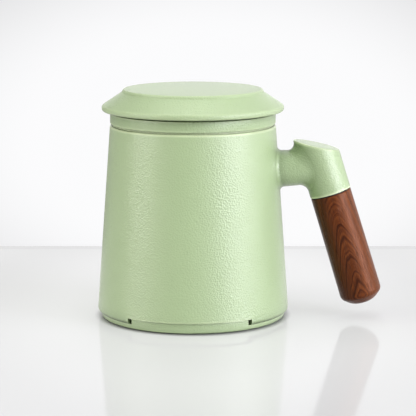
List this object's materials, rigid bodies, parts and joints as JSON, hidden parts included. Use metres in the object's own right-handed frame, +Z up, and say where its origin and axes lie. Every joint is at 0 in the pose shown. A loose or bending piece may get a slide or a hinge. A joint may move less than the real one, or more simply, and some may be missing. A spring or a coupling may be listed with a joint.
{
  "type": "lidded tea mug with infuser",
  "caption": "Tapered double wall tea mug with a round side grip, a steel liner, a drop-in slotted infuser and a plug-in lid with a wide brim.",
  "frame": {"origin": "on the table under the mug's centre line, at the middle of the foot pad's underside", "axes": "+Z up along the mug's centre line; +X from the centre line towards the handle; -Y is the front"},
  "size_m": [0.1428, 0.0962, 0.1149],
  "materials": {
    "green_shell": "fine leather-like grain, satin",
    "green_base": "satin, slightly darker than the shell",
    "green_lid": "fine leather-like grain, satin",
    "wood_grip": "dark reddish rosewood with long grain, satin",
    "liner_steel": "brushed round the axis",
    "basket_steel": "bright, lightly brushed",
    "stud_steel": "plain",
    "brass_insert": "plain",
    "clear_silicone": "milky, satin",
    "grey_silicone": "matte",
    "dark_rubber": "matte"
  },
  "bodies": {
    "mug": {"mug_shell": "green_shell", "mug_liner": "liner_steel", "liner_seal": "clear_silicone", "liner_cushion": "dark_rubber", "base_cap": "green_base", "base_pad": "grey_silicone", "arm_insert": "brass_insert", "handle_stud": "stud_steel", "handle_washer": "dark_rubber", "grip_insert": "brass_insert", "handle_grip": "wood_grip"},
    "infuser": {"infuser_collar": "green_lid", "infuser_basket": "basket_steel", "infuser_gasket": "clear_silicone"},
    "lid": {"lid_cover": "green_lid", "lid_plug": "green_lid", "lid_seal": "clear_silicone"}
  },
  "joints": [
    {"name": "infuser_lift", "type": "slide", "parent": "mug", "child": "infuser", "axis": [0, 0, 1], "range_m": [0, 0.075]},
    {"name": "lid_lift", "type": "slide", "parent": "infuser", "child": "lid", "axis": [0, 0, 1], "range_m": [0, 0.03]}
  ]
}
